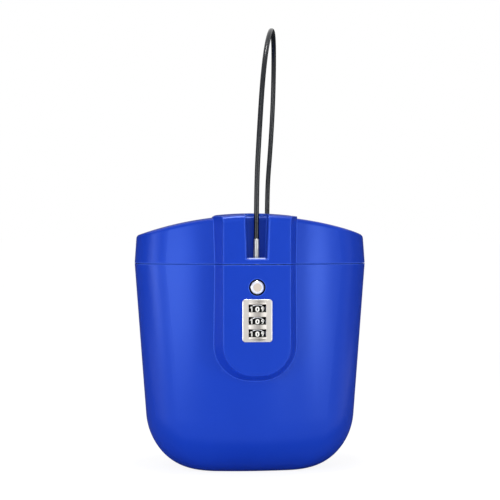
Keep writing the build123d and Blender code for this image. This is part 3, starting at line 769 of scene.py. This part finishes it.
def dress(piece, material):
    if piece.data.materials:
        piece.data.materials[0] = material
    else:
        piece.data.materials.append(material)


for name, piece in nodes.items():
    dress(piece, worn_by.get(name, steel))
dress(steel_cable, coat)
dress(slot_lip, lip_highlight_finish)
dress(bolt_coil, steel)
dress(spindle_coil, steel)
for piece in brows:
    dress(piece, polished)
for piece in number_sets:
    dress(piece, white_ink)
finishes = {piece.data.materials[0].name for piece in nodes.values()}
print(len(nodes), "packed pieces have", len(finishes), "finishes")

# %% [markdown]
# ## The studio
# The photograph is a cut-out on white. More light would bleach the blue, so the white comes from the colour
# of the surroundings: rays from the camera and mirror-like rays see pure white, and all others see a dimmer
# grey that only fills the shadows. The floor is white in the same way: a share of what the camera sees
# there is its own glow, and the rest is lit by the lamps and keeps a faint shadow of the box.

# %% Surround the box with white
room_level = 0.4  # how bright the room is to all rays but those that see it directly


def seen_directly(finish):
    """One for rays from the camera, and for rays that show the room in metal or glass."""
    paths = finish.tree.nodes.new("ShaderNodeLightPath")
    camera_ray = Value(finish, paths.outputs["Is Camera Ray"])
    mirror_ray = Value(finish, paths.outputs["Is Glossy Ray"])
    glass_ray = Value(finish, paths.outputs["Is Transmission Ray"])
    return camera_ray + mirror_ray + glass_ray


room = Finish("room", owner=bpy.data.worlds.new("white_room"))
bpy.context.scene.world = room.owner
background = room.tree.nodes["Background"]
background.inputs["Color"].default_value = (1, 1, 1, 1)
seen = seen_directly(room)
room.feed(background.inputs["Strength"], seen * (1 - room_level) + room_level)
print("the room lights the box at", room_level, "of the white that the camera sees")

# %% Lay the floor
floor_side = 60.0
floor_drop = 0.0002  # under the box, so that the two don't share a plane
floor_shadow = 0.25  # the share of the floor's picture that light and shadow make
floor_light = 0.42  # how bright the light leaves the floor, away from the lamps
deselect()
bpy.ops.mesh.primitive_plane_add(size=floor_side, location=(0, 0, -floor_drop))
floor = bpy.context.object
floor.name = "studio_floor"
pale = Finish("white_floor")
pale.shader.inputs["Base Color"].default_value = paint(245, 245, 245)
pale.shader.inputs["Roughness"].default_value = 0.8
glow_level = (1 - floor_shadow * floor_light) / (1 - floor_shadow)
glow = pale.add("ShaderNodeEmission", inputs={"Color": (1, 1, 1, 1), "Strength": glow_level})
mixed = pale.add(
    "ShaderNodeMixShader",
    inputs={0: seen_directly(pale) * (1 - floor_shadow), 1: Value(pale, pale.shader.outputs[0]), 2: glow},
)
pale.feed(pale.tree.nodes["Material Output"].inputs["Surface"], mixed)
dress(floor, pale.owner)
floor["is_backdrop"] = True
print("the floor glows at", round(glow_level, 2))

# %% [markdown]
# ## The lamps
# Two tall soft boxes give the photograph's two pale bands: the front of the tub is gently bulged, so each
# box shows as one soft upright stripe, about a sixth of the way in from either side. The left one is the
# wider, and two more beside it, one of them low, keep the left flank pale, while the right flank falls away
# into a deeper blue. A weak one in front lifts the panel. Strips draw thin lines of light along the cable
# and both sides, and a lamp overhead lights the floor in front, which sends light up to the rounded bottom.
# The camera sees none of the lamps.

# %% Hang the soft boxes
aim = (cad_low + cad_high) / 2


def soft_box(name, turn, height, distance, width, tall, power):
    """A tall area lamp that faces the box, turned from the front towards the right."""
    lamp = bpy.data.lights.new(name, "AREA")
    lamp.shape = "RECTANGLE"
    lamp.size = width
    lamp.size_y = tall
    lamp.energy = power
    stand = bpy.data.objects.new(name, lamp)
    angle = math.radians(turn)
    stand.location = (distance * math.sin(angle), -distance * math.cos(angle), height)
    stand.rotation_euler = (aim - stand.location).to_track_quat("-Z", "Y").to_euler()
    stand.visible_camera = False
    bpy.context.scene.collection.objects.link(stand)


soft_box("left_box", turn=-39, height=0.14, distance=0.7, width=0.2, tall=0.3, power=1.1)
soft_box("right_box", turn=40, height=0.14, distance=0.7, width=0.1, tall=0.3, power=1.1)
soft_box("front_box", turn=20, height=0.11, distance=0.45, width=0.06, tall=0.25, power=0.16)
soft_box("side_box", turn=-75, height=0.08, distance=0.9, width=0.35, tall=0.4, power=1.3)
soft_box("low_box", turn=-60, height=0.06, distance=0.8, width=0.5, tall=0.1, power=0.3)
soft_box("cable_strip", turn=-10, height=0.45, distance=0.7, width=0.05, tall=0.4, power=0.7)
soft_box("left_strip", turn=-86, height=0.22, distance=0.7, width=0.02, tall=0.4, power=0.3)
soft_box("right_strip", turn=95, height=0.22, distance=0.7, width=0.02, tall=0.4, power=0.15)
soft_box("top_box", turn=0, height=1.2, distance=0.12, width=0.2, tall=0.2, power=5)
lamps = [thing for thing in bpy.context.scene.objects if thing.type == "LIGHT"]
print(len(lamps), "lamps give", round(sum(lamp.data.energy for lamp in lamps), 2), "watts")

# %% [markdown]
# ## A black flag
# On white, the edges of a glossy thing bleach out, because a surface seen at a shallow angle mirrors what
# stands behind it. Photographers stand black card there, just out of the picture. This flag is a half ring
# behind the box. Only reflections see it: it throws no shadow and dims no other light. A darker room would
# do the same to the edges, but it would dull every other reflection as well.

# %% Stand the flag behind the box


def only_reflected(card):
    """Hides a card from all but reflections, and keeps it out of the object."""
    card.visible_camera = False
    card.visible_diffuse = False
    card.visible_shadow = False
    card.visible_transmission = False
    card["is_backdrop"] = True


flag_radius = 0.6
flag_height = 0.5
flag_reach = 0.1  # how far forward its ends come, for each step sideways
deselect()
bpy.ops.mesh.primitive_cylinder_add(
    vertices=48,
    radius=flag_radius,
    depth=flag_height,
    end_fill_type="NOTHING",
    location=(0, 0, flag_height / 2),
)
flag = bpy.context.object
flag.name = "studio_flag"
bpy.ops.object.transform_apply(location=True)
pick(flag)
bpy.ops.object.mode_set(mode="EDIT")
bpy.ops.mesh.select_all(action="DESELECT")
bpy.ops.object.mode_set(mode="OBJECT")
for face in flag.data.polygons:
    face.select = face.center.y < -flag_reach * abs(face.center.x)
bpy.ops.object.mode_set(mode="EDIT")
bpy.ops.mesh.delete(type="FACE")
bpy.ops.object.mode_set(mode="OBJECT")
black_card = Finish("black_card", base_color=(0.05, 0.05, 0.05, 1), roughness=1.0)
dress(flag, black_card.owner)
only_reflected(flag)
print("the flag keeps", len(flag.data.polygons), "panels of card")

# %% [markdown]
# ## A card on the floor
# The rounded bottom looks down and would mirror the white floor. A round card under the box and behind it,
# seen by reflections alone, leaves the bottom its deep blue. It ends a little way in front, where the floor
# begins to send its light back.

# %% Lay a card on the floor
mat_front = 0.075  # how far it reaches to the front of the box's middle
deselect()
bpy.ops.mesh.primitive_circle_add(
    vertices=64,
    radius=flag_radius,
    fill_type="NGON",
    location=(0, flag_radius - mat_front, -floor_drop / 2),
)
bpy.ops.object.transform_apply(location=True)
mat = bpy.context.object
mat.name = "studio_mat"
dress(mat, black_card.owner)
only_reflected(mat)
print("the card reaches", round(1000 * mat_front), "mm to the front of the box's middle")

# %% Finish
bpy.context.scene.view_settings.view_transform = "Standard"
dressed_low, dressed_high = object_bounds()
grown = [round(1000 * d, 3) for d in dressed_high - cad_high]
print("dressing moved the upper corner of the box by", grown, "mm")
